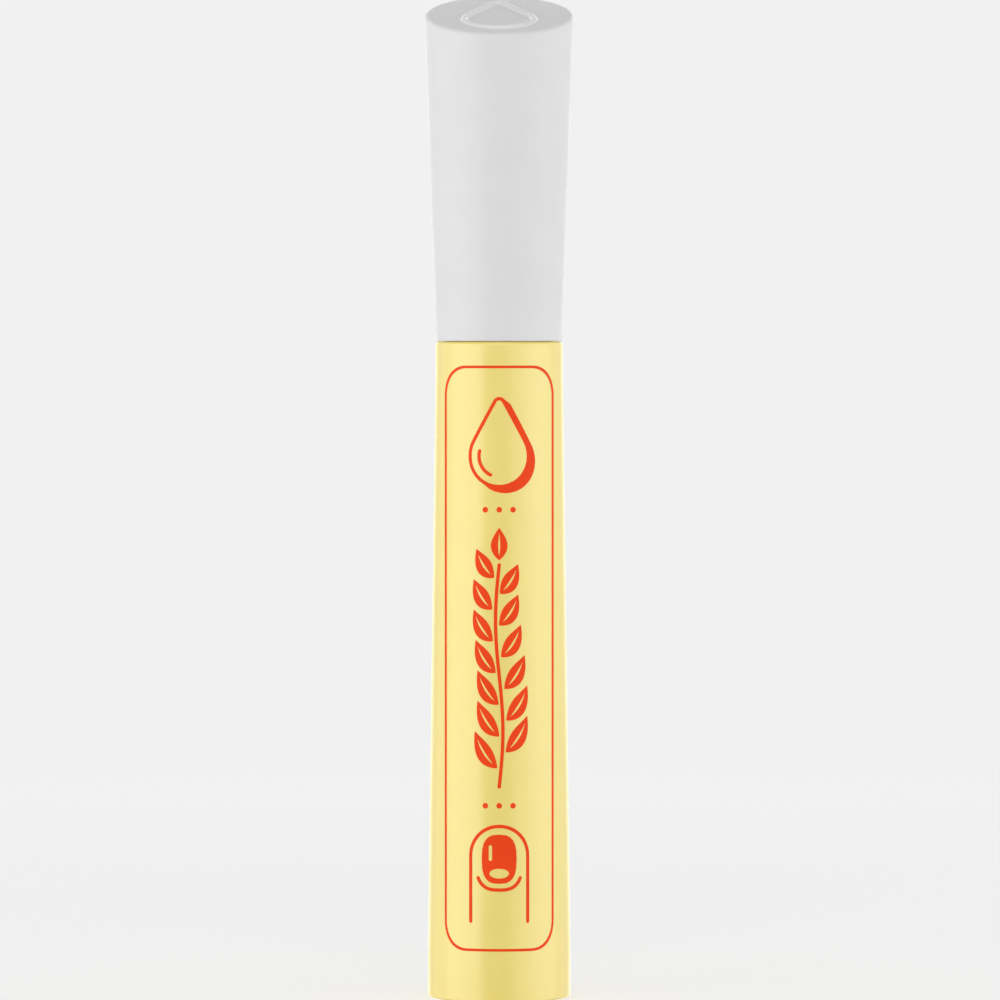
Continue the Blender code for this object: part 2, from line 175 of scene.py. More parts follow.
# Printed drop
DROP_CENTRE = 66.5 * MM
DROP_RADIUS = 3.9 * MM
DROP_LENGTH = 6.4 * MM
DROP_TIP_RADIUS = 0.8 * MM
DROP_SHADOW = Vector((0.75 * MM, -0.6 * MM))
DROP_GLINT_RADIUS = 2.5 * MM
DROP_GLINT_ARC = (165, 245)

# Printed sprig
SPRIG_BOTTOM = 26.3 * MM
SPRIG_TOP = 53.3 * MM
SPRIG_SWAY = 0.45 * MM
SPRIG_LEAVES = 13
STEM_STEPS_PER_LEAF = 4
LEAF_LENGTH = 5.3 * MM
LEAF_HALF_WIDTH = 1.02 * MM
LEAF_LEAN = math.radians(50)
LEAF_CURL = math.radians(18)
LEAF_STAND_OFF = 0.55 * MM
LEAF_SHRINK = 0.25
LEAF_FULLNESS = 0.85
LEAF_RIB = 0.13 * MM
LEAF_RIB_START = 0.14
LEAF_RIB_END = 0.84

# Printed fingertip
FINGER_BOTTOM = 9.9 * MM
FINGER_CENTRE = 17.9 * MM
FINGER_RADIUS = 3.6 * MM
NAIL_CENTRE = 17.5 * MM
NAIL_HALF_WIDTH = 2.15 * MM
NAIL_HALF_LENGTH = 3.0 * MM
NAIL_SQUARENESS = 0.72
CUTICLE_GAP = 0.75 * MM
CUTICLE_ARC = (210, 330)
MOON_CENTRE = 15.75 * MM
MOON_HALF_WIDTH = 1.2 * MM
MOON_HALF_HEIGHT = 0.6 * MM

# Printed dots
DOT_RADIUS = 0.34 * MM
DOT_PITCH = 1.7 * MM
DOT_ROWS = (24.0 * MM, 60.0 * MM)

# Finish of moulded plastic. A scale is in cells to the metre.
MOULDED = {
    "cap_white": {"colour": (0.80, 0.80, 0.80), "roughness": 0.45, "specular": 0.3},
    # The relief's finish is glossier than the cap's white. Its colour is a little lighter as a
    # painted highlight.
    "cap_polish_painted_highlight": {"colour": (0.82, 0.82, 0.82), "roughness": 0.15, "specular": 0.7},
    "barrel_yellow": {
        "colour": (0.89, 0.72, 0.16),
        "roughness": 0.32,
        "specular": 1.0,
        "index": 1.57,
    },
    "nose_white": {"colour": (0.80, 0.80, 0.79), "roughness": 0.40},
    "liner_natural": {"colour": (0.80, 0.81, 0.79), "roughness": 0.45},
}
MOTTLE = 0.012
MOTTLE_SCALE = 260
SHEEN_SPREAD = 0.03
SHEEN_SCALE = 900
RIPPLE = 0.004 * MM
RIPPLE_SCALE = 120
GRAIN = 0.0006 * MM
GRAIN_SCALE = 7000

# Finish of felt and bonded fibre
FELT_COLOUR = (0.85, 0.83, 0.77)
FELT_SCALE = 4200
FIBRE_COLOUR = (0.86, 0.84, 0.76)
FIBRE_SCALE = 2600
FIBRE_ROUGHNESS = 0.95
FIBRE_SPECULAR = 0.2
FIBRE_SHEEN = 0.15
FIBRE_SQUEEZE = 0.12
FIBRE_DARKEST = 0.82
FIBRE_DEPTH = 0.03 * MM
CLUMP_THREADS = 3

# Finish of the reservoir's film
FILM_COLOUR = (0.9, 0.9, 0.9)
FILM_ROUGHNESS = 0.2
FILM_RIPPLE = 0.01 * MM
FILM_CLEARNESS = 0.6

# Finish of the ink
INK_COLOUR = (0.95, 0.066, 0.007)
INK_ROUGHNESS = 0.5
INK_SPECULAR = 0.15
INK_MOTTLE = 0.04
INK_RIPPLE = 0.002 * MM
INK_GRAIN = 0.001 * MM

# The part of its range that a noise mostly fills
NOISE_LOW = 0.3
NOISE_HIGH = 0.7

# Studio. Sizes are in metres, angles in degrees, and azimuth 0 is in front of the print.
BACKGROUND = 0.88
AMBIENT = 0.285
FLOOR_RADIUS = 3.0
FLOOR_SEGMENTS = 128
FLOOR_ALBEDO = 0.48
FLOOR_LIFT = 0.545
FLOOR_FADE = (0.08, 0.45)
RING = {"elevation": -4, "distance": 0.5, "height": 0.62}
FRONT = {"elevation": 25, "distance": 0.7, "height": 0.25}
OVERHEAD = {"elevation": 90, "distance": 0.7, "height": 0.54}
SOFT_BOXES = {
    "left_light": {"azimuth": -61, "width": 0.63, "radiance": 1.73, **RING},
    "fill_light": {"azimuth": 35, "width": 0.23, "radiance": 0.9, **RING},
    "side_light": {"azimuth": 59, "width": 0.19, "radiance": 1.55, **RING},
    "right_light": {"azimuth": 86, "width": 0.32, "radiance": 1.55, **RING},
    "front_light": {"azimuth": 0, "width": 0.51, "radiance": 2.05, **FRONT},
    "left_edge_light": {"azimuth": -112, "width": 0.32, "radiance": 0.7, **RING},
    "right_edge_light": {"azimuth": 120, "width": 0.28, "radiance": 0.55, **RING},
    "back_light": {"azimuth": 180, "width": 0.55, "radiance": 1.1, **RING},
    "top_light": {"azimuth": 0, "width": 0.54, "radiance": 0.65, **OVERHEAD},
}

# Camera, fitted to the photograph. Focal length, horizon and axis are in its pixels.
PICTURE_SIZE = 1000
FOCAL_PIXELS = 6479
SENSOR_WIDTH_MM = 36
CAMERA_DISTANCE = 795 * MM
CAMERA_HEIGHT = 80.8 * MM
HORIZON_ROW = 338.5
AXIS_COLUMN = 499.2

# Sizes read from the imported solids
barrel_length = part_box("barrel")[1].z
base_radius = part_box("barrel")[1].x
base_bore = base_radius - BASE_WALL
barrel_bore = WAIST_RADIUS - BARREL_WALL
plug_low, plug_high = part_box("end_plug")
nose_low, nose_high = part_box("nose_section")
nib_low, nib_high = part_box("nib")
cap_low, cap_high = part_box("cap_shell")
liner_low, liner_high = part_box("inner_cap")
nib_radius = nib_high.x
nib_bore = nib_radius + FIT_GAP


def barrel_side_radius(z):
    """The barrel's outer radius at a height."""
    low, high = BASE_BAND, barrel_length - BARREL_COLLAR
    share = min(max((z - low) / (high - low), 0.0), 1.0)
    return base_radius + (WAIST_RADIUS - base_radius) * share


def cap_side_radius(z):
    """The cap's outer radius above its collar."""
    return WAIST_RADIUS + (z - cap_low.z - CAP_COLLAR) * math.tan(CAP_FLARE)


# Surfaces


def rounded(corners):
    """Points of an outline whose corners are (r, z), or (r, z, fillet radius)."""
    points = []
    for i, corner in enumerate(corners):
        here = Vector(corner[:2])
        if len(corner) == 2:
            points.append(here)
            continue
        before = Vector(corners[i - 1][:2]) - here
        after = Vector(corners[(i + 1) % len(corners)][:2]) - here
        half_angle = before.angle(after) / 2
        room = min(before.length, after.length) / 2
        setback = min(corner[2] / math.tan(half_angle), room)
        radius = setback * math.tan(half_angle)
        bisector = (before.normalized() + after.normalized()).normalized()
        centre = here + bisector * (radius / math.sin(half_angle))
        first = here + before.normalized() * setback - centre
        last = here + after.normalized() * setback - centre
        turn = -first.angle_signed(last)
        for step in range(ARC_STEPS + 1):
            points.append(centre + Matrix.Rotation(turn * step / ARC_STEPS, 2) @ first)
    return points


def bead(radius, height, length, centre_z):
    """A rounded ring along a wall, from below it to above it. A negative height stands inward."""
    points = []
    for i in range(BEAD_STEPS + 1):
        share = i / BEAD_STEPS
        r = radius + height * math.sin(math.pi * share)
        points.append((r, centre_z + length * (share - 0.5)))
    return points


def shade(mesh):
    """Smooth shading that keeps the real edges sharp."""
    mesh.shade_smooth()
    mesh.set_sharp_from_angle(angle=SMOOTH_ANGLE)


def linked(name, form, material=None):
    """Makes an object of a form, with its faces pointing out."""
    bmesh.ops.recalc_face_normals(form, faces=form.faces)
    mesh = bpy.data.meshes.new(name)
    form.to_mesh(mesh)
    form.free()
    shade(mesh)
    if material:
        mesh.materials.append(material)
    piece = bpy.data.objects.new(name, mesh)
    bpy.context.scene.collection.objects.link(piece)
    return piece


def turned_form(outline):
    """Turns an outline of (r, z) points about Z. One that starts on the axis also ends there."""
    form = bmesh.new()
    points = [form.verts.new((p[0], 0.0, p[1])) for p in outline]
    pairs = list(zip(points, points[1:]))
    if outline[0][0] > 0:
        pairs.append((points[-1], points[0]))
    edges = [form.edges.new(pair) for pair in pairs]
    bmesh.ops.spin(
        form,
        geom=points + edges,
        cent=(0, 0, 0),
        axis=(0, 0, 1),
        angle=2 * math.pi,
        steps=SEGMENTS,
        use_merge=True,
    )
    bmesh.ops.remove_doubles(form, verts=form.verts, dist=MERGE_DISTANCE)
    return form


def cut_on_slant(form, point, slant, edge_radius):
    """Takes off what is above a plane that falls towards -Y, and rounds the new rim.

    A first cut, some way below, takes nothing off. It adds a row of points, which keeps the
    rounding from pulling at the long faces of the side.
    """
    upward = Vector((0, -math.sin(slant), math.cos(slant)))
    for depth in (2 * edge_radius, 0):
        cut_away = bmesh.ops.bisect_plane(
            form,
            geom=form.verts[:] + form.edges[:] + form.faces[:],
            plane_co=Vector(point) - upward * depth,
            plane_no=upward,
            clear_outer=not depth,
        )
    rim = [piece for piece in cut_away["geom_cut"] if isinstance(piece, bmesh.types.BMEdge)]
    bmesh.ops.contextual_create(form, geom=rim)
    bmesh.ops.bevel(
        form,
        geom=rim,
        offset=edge_radius,
        segments=ARC_STEPS,
        profile=0.5,
        affect="EDGES",
    )
    return form


def carved(piece, cutter):
    """Cuts one object out of another for good."""
    change = piece.modifiers.new("cut", "BOOLEAN")
    change.operation = "DIFFERENCE"
    change.solver = "EXACT"
    change.object = cutter
    graph = bpy.context.evaluated_depsgraph_get()
    mesh = bpy.data.meshes.new_from_object(piece.evaluated_get(graph))
    piece.modifiers.clear()
    piece.data = mesh
    shade(mesh)
    bpy.data.objects.remove(cutter)
    return piece


def spokes(name, count, inner, outer, width, bottom, top):
    """Radial blocks about Z that stop short of the axis, as a cutter."""
    form = bmesh.new()
    size = Matrix.Diagonal((outer - inner, width, top - bottom, 1))
    place = Matrix.Translation(((inner + outer) / 2, 0, (bottom + top) / 2))
    for i in range(count):
        turn = Matrix.Rotation(2 * math.pi * (i + 0.5) / count, 4, "Z")
        bmesh.ops.create_cube(form, size=1, matrix=turn @ place @ size)
    return linked(name, form)


# Materials


def add(tree, kind, inputs, **properties):
    """Adds a node. An input is a value, or another node's output."""
    made = tree.nodes.new("ShaderNode" + kind)
    for name, value in properties.items():
        setattr(made, name, value)
    for name, value in inputs.items():
        if isinstance(value, bpy.types.NodeSocket):
            tree.links.new(value, made.inputs[name])
        else:
            made.inputs[name].default_value = value
    return made


def noise(tree, place, scale, detail=3.0, roughness=0.5):
    """A cloud of values round a half, with a number of cells to the metre."""
    settings = {"Vector": place, "Scale": scale, "Detail": detail, "Roughness": roughness}
    return add(tree, "TexNoise", settings).outputs["Fac"]


def spread(tree, share, low, high):
    """Spreads the middle of a noise over a range."""
    limits = {"From Min": NOISE_LOW, "From Max": NOISE_HIGH, "To Min": low, "To Max": high}
    return add(tree, "MapRange", {"Value": share, **limits}).outputs["Result"]


def blended(tree, share, dark, light):
    """A colour between two, by a share from 0 to 1."""
    colours = {"Factor": share, "A": (*dark, 1), "B": (*light, 1)}
    return add(tree, "Mix", colours, data_type="RGBA").outputs["Result"]


def bumped(tree, height, distance, under=None):
    """A bump of some depth, on top of another if one is given."""
    settings = {"Strength": 1.0, "Distance": distance, "Height": height}
    if under:
        settings["Normal"] = under
    return add(tree, "Bump", settings).outputs["Normal"]


def plain_material(name, roughness, specular, index=1.5):
    """A material, with its node tree, its shader and the place on the object in metres."""
    material = bpy.data.materials.new(name)
    material.use_nodes = True
    tree = material.node_tree
    shader = tree.nodes["Principled BSDF"]
    shader.inputs["Roughness"].default_value = roughness
    shader.inputs["Specular IOR Level"].default_value = specular
    shader.inputs["IOR"].default_value = index
    place = tree.nodes.new("ShaderNodeTexCoord").outputs["Object"]
    return material, tree, shader, place


def moulded(
    name,
    colour,
    roughness,
    specular=0.5,
    index=1.5,
    mottle=MOTTLE,
    grain=GRAIN,
    ripple=RIPPLE,
):
    """Moulded plastic: a faint mottle, a fine grain, and the slow ripple that moulding leaves."""
    material, tree, shader, place = plain_material(name, roughness, specular, index)
    cloud = spread(tree, noise(tree, place, MOTTLE_SCALE, detail=4), 0, 1)
    dark = [channel * (1 - mottle) for channel in colour]
    light = [min(channel * (1 + mottle), 1) for channel in colour]
    tree.links.new(blended(tree, cloud, dark, light), shader.inputs["Base Color"])
    patches = noise(tree, place, SHEEN_SCALE)
    sheen = spread(tree, patches, roughness - SHEEN_SPREAD, roughness + SHEEN_SPREAD)
    tree.links.new(sheen, shader.inputs["Roughness"])
    slow = bumped(tree, noise(tree, place, RIPPLE_SCALE, detail=1), ripple)
    fine = bumped(tree, noise(tree, place, GRAIN_SCALE, detail=2), grain, under=slow)
    tree.links.new(fine, shader.inputs["Normal"])
    return material


def fibrous(name, colour, thread_scale):
    """Fibres that run along the pen, as in felt and in a bonded reservoir."""
    material, tree, shader, place = plain_material(name, FIBRE_ROUGHNESS, FIBRE_SPECULAR)
    shader.inputs["Sheen Weight"].default_value = FIBRE_SHEEN
    squeezed = {"Vector": place, "Scale": (1, 1, FIBRE_SQUEEZE)}
    along = add(tree, "Mapping", squeezed).outputs["Vector"]
    threads = noise(tree, along, thread_scale, detail=5, roughness=0.65)
    dark = [channel * FIBRE_DARKEST for channel in colour]
    tint = blended(tree, spread(tree, threads, 0, 1), dark, colour)
    tree.links.new(tint, shader.inputs["Base Color"])
    clumps = noise(tree, place, thread_scale / CLUMP_THREADS, detail=4)
    matted = bumped(tree, clumps, FIBRE_DEPTH)
    tree.links.new(bumped(tree, threads, FIBRE_DEPTH, under=matted), shader.inputs["Normal"])
    return material


def film(name):
    """Thin clear sleeve with a slow ripple."""
    material = moulded(name, FILM_COLOUR, FILM_ROUGHNESS, ripple=FILM_RIPPLE)
    shader = material.node_tree.nodes["Principled BSDF"]
    shader.inputs["Transmission Weight"].default_value = FILM_CLEARNESS
    return material


def ink(name):
    """Screen-printed ink, a little uneven in density."""
    return moulded(
        name,
        INK_COLOUR,
        INK_ROUGHNESS,
        specular=INK_SPECULAR,
        mottle=INK_MOTTLE,
        grain=INK_GRAIN,
        ripple=INK_RIPPLE,
    )


def make_finishes():
    """Every material of the pen, by its name."""
    finishes = {name: moulded(name, **look) for name, look in MOULDED.items()}
    finishes["nib_felt"] = fibrous("nib_felt", FELT_COLOUR, FELT_SCALE)
    finishes["reservoir_fibre"] = fibrous("reservoir_fibre", FIBRE_COLOUR, FIBRE_SCALE)
    finishes["reservoir_film"] = film("reservoir_film")
    finishes["print_orange"] = ink("print_orange")
    return finishes


# Moulded pieces


def make_barrel(material):
    """Waisted tube with a flat base ring, and seats for the plug and the nose."""
    plug_floor = plug_low.z + PLUG_FLOOR
    flange_bottom = barrel_length - NOSE_FLANGE_THICKNESS
    outline = [
        (plug_high.x + FIT_GAP, 0),
        (base_radius, 0, BASE_EDGE_RADIUS),
        (base_radius, BASE_BAND, TAPER_BLEND),
        (WAIST_RADIUS, barrel_length - BARREL_COLLAR, TAPER_BLEND),
        (WAIST_RADIUS, barrel_length - JOINT_DROP, JOINT_LIP_RADIUS),
        (nose_high.x + FIT_GAP, barrel_length - JOINT_DROP),
        (nose_high.x + FIT_GAP, flange_bottom - FIT_GAP),
        (barrel_bore, flange_bottom - FIT_GAP),
        (barrel_bore, nose_low.z),
        (base_bore, plug_high.z),
        (base_bore, plug_floor + FIT_GAP),
        (plug_high.x + FIT_GAP, plug_floor + FIT_GAP),
    ]
    return linked("barrel_moulding", turned_form(rounded(outline)), material)


def make_end_plug(material):
    """Recessed plug, with the shallow dish and the witness of its gate in the middle."""
    floor_top = plug_low.z + PLUG_FLOOR
    skirt_radius = base_bore - FIT_GAP
    dish = plug_low.z + GATE_DISH_DEPTH
    outline = [
        (0, dish - GATE_HEIGHT),
        (GATE_RADIUS, dish - GATE_HEIGHT, GATE_HEIGHT / 2),
        (GATE_RADIUS, dish),
        (GATE_DISH_RADIUS - GATE_DISH_DEPTH, dish, GATE_DISH_DEPTH),
        (GATE_DISH_RADIUS, plug_low.z, GATE_DISH_DEPTH / 2),
        (plug_high.x, plug_low.z, LIP_RADIUS),
        (plug_high.x, floor_top),
        (skirt_radius, floor_top),
        (skirt_radius, plug_high.z, INNER_EDGE_RADIUS),
        (skirt_radius - PLUG_SKIRT_WALL, plug_high.z),
        (skirt_radius - PLUG_SKIRT_WALL, floor_top),
        (0, floor_top),
    ]
    return linked("end_plug_moulding", turned_form(rounded(outline)), material)


def make_nose(material):
    """Insert, flange, neck with its click bead, shoulder, and the vented tube round the nib."""
    insert_radius = barrel_bore - FIT_GAP
    nose_bore = insert_radius - NOSE_WALL
    neck_top = barrel_length + NECK_LENGTH
    shoulder_top = neck_top + SHOULDER_LENGTH
    tube_radius = TUBE_FOOT_RADIUS - (nose_high.z - shoulder_top) * math.tan(TUBE_DRAFT)
    outline = [
        (nose_bore, nose_low.z),
        (insert_radius, nose_low.z, INNER_EDGE_RADIUS),
        (insert_radius, barrel_length - NOSE_FLANGE_THICKNESS),
        (nose_high.x, barrel_length - NOSE_FLANGE_THICKNESS),
        (nose_high.x, barrel_length, LIP_RADIUS / 2),
        (NECK_RADIUS, barrel_length),
        *bead(NECK_RADIUS, CLICK_BEAD_HEIGHT, CLICK_BEAD_LENGTH, barrel_length + CLICK_BEAD_RISE),
        (NECK_RADIUS, neck_top, SHOULDER_RADIUS),
        (TUBE_FOOT_RADIUS, shoulder_top, SHOULDER_RADIUS),
        (tube_radius, nose_high.z, INNER_EDGE_RADIUS),
        (nib_bore, nose_high.z, LIP_RADIUS),
        (nib_bore, shoulder_top),
        (nose_bore, neck_top - NOSE_WALL),
    ]
    nose = linked("nose_moulding", turned_form(rounded(outline)), material)
    vents = spokes(
        "vent_cutters",
        VENT_COUNT,
        nib_radius,
        nib_bore + VENT_DEPTH,
        VENT_WIDTH,
        neck_top,
        nose_high.z + CUT_MARGIN,
    )
    return carved(nose, vents)


def make_nib(material):
    """Felt rod with a tapered tip cut on a slant."""
    tip_z = nose_high.z + NIB_EXPOSED_LENGTH
    tip_radius = nib_radius - NIB_TAPER_LENGTH * math.tan(NIB_TAPER)
    outline = [
        (0, nib_low.z),
        (NIB_TAIL_RADIUS, nib_low.z),
        (nib_radius, nib_low.z + NIB_TAIL_LENGTH),
        (nib_radius, tip_z - NIB_TAPER_LENGTH, NIB_TAPER_LENGTH),
        (tip_radius - CUT_MARGIN * math.tan(NIB_TAPER), tip_z + CUT_MARGIN),
        (0, tip_z + CUT_MARGIN),
    ]
    heel = (0, tip_radius, tip_z)
    form = cut_on_slant(turned_form(rounded(outline)), heel, NIB_SLANT, NIB_EDGE_RADIUS)
    return linked("felt_nib", form, material)


def make_cap(material):
    """Flared cap with a slanted top, hollow, with a click bead and a lead-in at its mouth."""
    form_top = CAP_TOP_HEIGHT + cap_high.x * math.tan(CAP_TOP_SLANT) + CUT_MARGIN
    ceiling = CAP_TOP_HEIGHT - CAP_TOP_THICKNESS / math.cos(CAP_TOP_SLANT)
    mouth = barrel_length + JOINT_GAP
    top = (0, 0, CAP_TOP_HEIGHT)
    outside = [
        (0, mouth),
        (WAIST_RADIUS, mouth, MOUTH_LIP_RADIUS),
        (WAIST_RADIUS, cap_low.z + CAP_COLLAR, TAPER_BLEND / 2),
        (cap_side_radius(form_top), form_top),
        (0, form_top),
    ]
    form = cut_on_slant(turned_form(rounded(outside)), top, CAP_TOP_SLANT, CAP_EDGE_RADIUS)
    cap = linked("cap_moulding", form, material)
    inside = [
        (0, mouth - CUT_MARGIN),
        (CAP_BORE + CAP_LEAD_IN, mouth - CUT_MARGIN),
        (CAP_BORE + CAP_LEAD_IN, mouth),
        (CAP_BORE, mouth + CAP_LEAD_IN_LENGTH),
        *bead(CAP_BORE, -CAP_CLICK_HEIGHT, CLICK_BEAD_LENGTH, barrel_length + CAP_CLICK_RISE),
        (CAP_BORE, form_top),
        (0, form_top),
    ]
    core = cut_on_slant(turned_form(inside), (0, 0, ceiling), CAP_TOP_SLANT, CAP_CEILING_RADIUS)
    return carved(cap, linked("cap_core", core))


def make_liner(material):
    """Soft inner cap, with a flange at its mouth and a sealing ring inside."""
    ceiling = liner_high.z - LINER_TOP_THICKNESS
    shelf = liner_low.z + LINER_FLANGE_THICKNESS
    seal = bead(LINER_BORE, -LINER_SEAL_HEIGHT, LINER_SEAL_LENGTH, liner_low.z + LINER_SEAL_RISE)
    outline = [
        (0, ceiling),
        (LINER_BORE, ceiling, LINER_CORNER_RADIUS),
        *reversed(seal),
        (LINER_BORE, liner_low.z + 2 * LIP_RADIUS),
        (LINER_BORE + LIP_RADIUS, liner_low.z),
        (liner_high.x, liner_low.z, LIP_RADIUS),
        (liner_high.x, shelf, LIP_RADIUS),
        (LINER_BORE + LINER_WALL, shelf),
        (LINER_BORE + LINER_WALL, liner_high.z, LINER_CORNER_RADIUS),
        (0, liner_high.z),
    ]
    return linked("liner_moulding", turned_form(rounded(outline)), material)


# Print. Outlines are drawn flat, (x, z), and are wrapped round the barrel at its waist's radius.


def arc(centre, radius, start, end):
    """Points along an arc, by angles in degrees from +X towards +Z."""
    return oval(centre, radius, radius, start, end)


def oval(centre, half_width, half_height, start=0, end=360, squareness=1.0):
    """Points along an oval, or a part of one. Under 1, squareness fills out its corners."""
    points = []
    for i in range(CURVE_STEPS + 1):
        angle = math.radians(start + (end - start) * i / CURVE_STEPS)
        across, up = math.cos(angle), math.sin(angle)
        x = centre[0] + half_width * math.copysign(abs(across) ** squareness, across)
        z = centre[1] + half_height * math.copysign(abs(up) ** squareness, up)
        points.append(Vector((x, z)))
    return points


def rounded_box(half_width, bottom, top, radius):
    """A box round x = 0 with round corners."""
    right, left = half_width - radius, radius - half_width
    return [
        *arc((right, top - radius), radius, 0, 90),
        *arc((left, top - radius), radius, 90, 180),
        *arc((left, bottom + radius), radius, 180, 270),
        *arc((right, bottom + radius), radius, 270, 360),
    ]


def drop(centre, radius, length, tip_radius):
    """A round drop whose point is a small circle, at a length above the big one."""
    lean = math.degrees(math.acos((radius - tip_radius) / length))
    tip = (centre[0], centre[1] + length)
    return [
        *arc(centre, radius, 90 + lean, 450 - lean),
        *arc(tip, tip_radius, 90 - lean, 90 + lean),
    ]


def stroke(path, width):
    """Outline of a line with round ends."""
    points = []
    for run in (path, path[::-1]):
        last = len(run) - 1
        for i, point in enumerate(run):
            along = (run[min(i + 1, last)] - run[max(i - 1, 0)]).normalized()
            side = Vector((along.y, -along.x)) * width / 2
            points.append(point + side)
        for i in range(1, ARC_STEPS):
            points.append(run[-1] + Matrix.Rotation(math.pi * i / ARC_STEPS, 2) @ side)
    return points


def cast_shadow(loop, shift):
    """The band that a round outline's copy shows where it is moved out from behind it."""
    count = len(loop)
    ahead = []
    for i in range(count):
        along = loop[(i + 1) % count] - loop[i - 1]
        ahead.append(Vector((along.y, -along.x)).dot(shift) > 0)
    first = next(i for i in range(count) if ahead[i] and not ahead[i - 1])
    order = [(first + i) % count for i in range(count)]
    edge = [loop[i] for i in order if ahead[i]]
    return edge + [point + shift for point in reversed(edge)]


def leaf(root, heading, curl, length):
    """A pointed leaf and the slit of its rib, which bend by curl from the root to the point."""
    outline = (0, 1, LEAF_HALF_WIDTH)
    slit = (LEAF_RIB_START, LEAF_RIB_END, LEAF_RIB)
    loops = []
    for start, end, half_width in (outline, slit):
        right, left = [], []
        for i in range(CURVE_STEPS + 1):
            part = i / CURVE_STEPS
            share = start + (end - start) * part
            chord = Matrix.Rotation(curl * share, 2) @ heading
            middle = root + chord * length * share
            swell = half_width * math.sin(math.pi * part**LEAF_FULLNESS)
            side = Vector((chord.y, -chord.x)) * swell
            right.append(middle + side)
            left.append(middle - side)
        loops.append(right + left[-2:0:-1])
    return loops


def filled(shapes):
    """Flat faces for some shapes. A shape is a list of loops: an outside, then its holes."""
    form = bmesh.new()
    for loops in shapes:
        flat = [[Vector((p[0], 0, p[1])) for p in loop] for loop in loops]
        points = [form.verts.new(p) for loop in flat for p in loop]
        for corners in tessellate_polygon(flat):
            form.faces.new([points[i] for i in corners])
    bmesh.ops.remove_doubles(form, verts=form.verts, dist=MERGE_DISTANCE)
    return form


def slice_up(form):
    """Cuts flat faces into strips that can follow the barrel's roundness and taper."""
    low = min(v.co.z for v in form.verts)
    high = max(v.co.z for v in form.verts)
    reach = max(abs(v.co.x) for v in form.verts)
    column_count = int(reach / INK_SLICE)
    row_count = int((high - low) / INK_SLICE_ALONG)
    columns = [i * INK_SLICE for i in range(-column_count, column_count + 1)]
    rows = [low + i * INK_SLICE_ALONG for i in range(1, row_count + 1)]
    slices = [((x, 0, 0), (1, 0, 0)) for x in columns]
    slices += [((0, 0, z), (0, 0, 1)) for z in rows + [barrel_length - BARREL_COLLAR]]
    for point, normal in slices:
        bmesh.ops.bisect_plane(
            form,
            geom=form.verts[:] + form.edges[:] + form.faces[:],
            plane_co=point,
            plane_no=normal,
        )


def printed(name, shapes, material):
    """Lays flat shapes on the barrel as a thin layer of ink."""
    form = filled(shapes)
    slice_up(form)
    for v in form.verts:
        radius = barrel_side_radius(v.co.z) + INK_THICKNESS
        v.co.x = WAIST_RADIUS * math.sin(v.co.x / WAIST_RADIUS)
        v.co.y = -math.sqrt(radius**2 - v.co.x**2)
    bmesh.ops.recalc_face_normals(form, faces=form.faces)
    for face in form.faces:
        if face.normal.y > 0:
            face.normal_flip()
    mesh = bpy.data.meshes.new(name)
    form.to_mesh(mesh)
    form.free()
    mesh.materials.append(material)
    piece = bpy.data.objects.new(name, mesh)
    bpy.context.scene.collection.objects.link(piece)
    body = piece.modifiers.new("thickness", "SOLIDIFY")
    body.thickness = 2 * INK_THICKNESS
    body.offset = -1
    return piece


def make_print_frame(material):
    """A plain frame with round corners. The lines at its sides turn away, so they are wider."""
    loops = []
    for side in (1, -1):
        half = side * FRAME_LINE / 2
        half_width = FRAME_HALF_WIDTH + side * FRAME_SIDE_LINE / 2
        loops.append(
            rounded_box(half_width, FRAME_BOTTOM - half, FRAME_TOP + half, FRAME_CORNER + half)
        )
    return printed("print_frame", [loops], material)


def make_print_drop(material):
    """A drop in outline, with a glint and a shadow on one side."""
    centre = (0, DROP_CENTRE)
    outer = drop(centre, DROP_RADIUS, DROP_LENGTH, DROP_TIP_RADIUS)
    inner = drop(centre, DROP_RADIUS - DRAWN_LINE, DROP_LENGTH, DROP_TIP_RADIUS - DRAWN_LINE)
    glint = stroke(arc(centre, DROP_GLINT_RADIUS, *DROP_GLINT_ARC), DRAWN_LINE)
    shapes = [[outer, inner], [cast_shadow(outer, DROP_SHADOW)], [glint]]
    return printed("print_drop", shapes, material)


def make_print_sprig(material):
    """A swaying stem with leaves on either side in turn, and one at its tip."""
    up = Vector((0, 1))
    joints = SPRIG_LEAVES + 1
    steps = joints * STEM_STEPS_PER_LEAF
    stem = []
    for i in range(steps + 1):
        share = i / steps
        x = SPRIG_SWAY * math.sin(2 * math.pi * share)
        stem.append(Vector((x, SPRIG_BOTTOM + (SPRIG_TOP - SPRIG_BOTTOM) * share)))
    shapes = [[stroke(stem, DRAWN_LINE)]]
    for i in range(SPRIG_LEAVES):
        side = 1 if i % 2 else -1
        length = LEAF_LENGTH * (1 - LEAF_SHRINK * i / joints)
        heading = Matrix.Rotation(-side * LEAF_LEAN, 2) @ up
        root = stem[(i + 1) * STEM_STEPS_PER_LEAF] + heading * LEAF_STAND_OFF
        shapes.append(leaf(root, heading, side * LEAF_CURL, length))
    shapes.append(leaf(stem[-1] + up * LEAF_STAND_OFF, up, 0, LEAF_LENGTH * (1 - LEAF_SHRINK)))
    return printed("print_sprig", shapes, material)


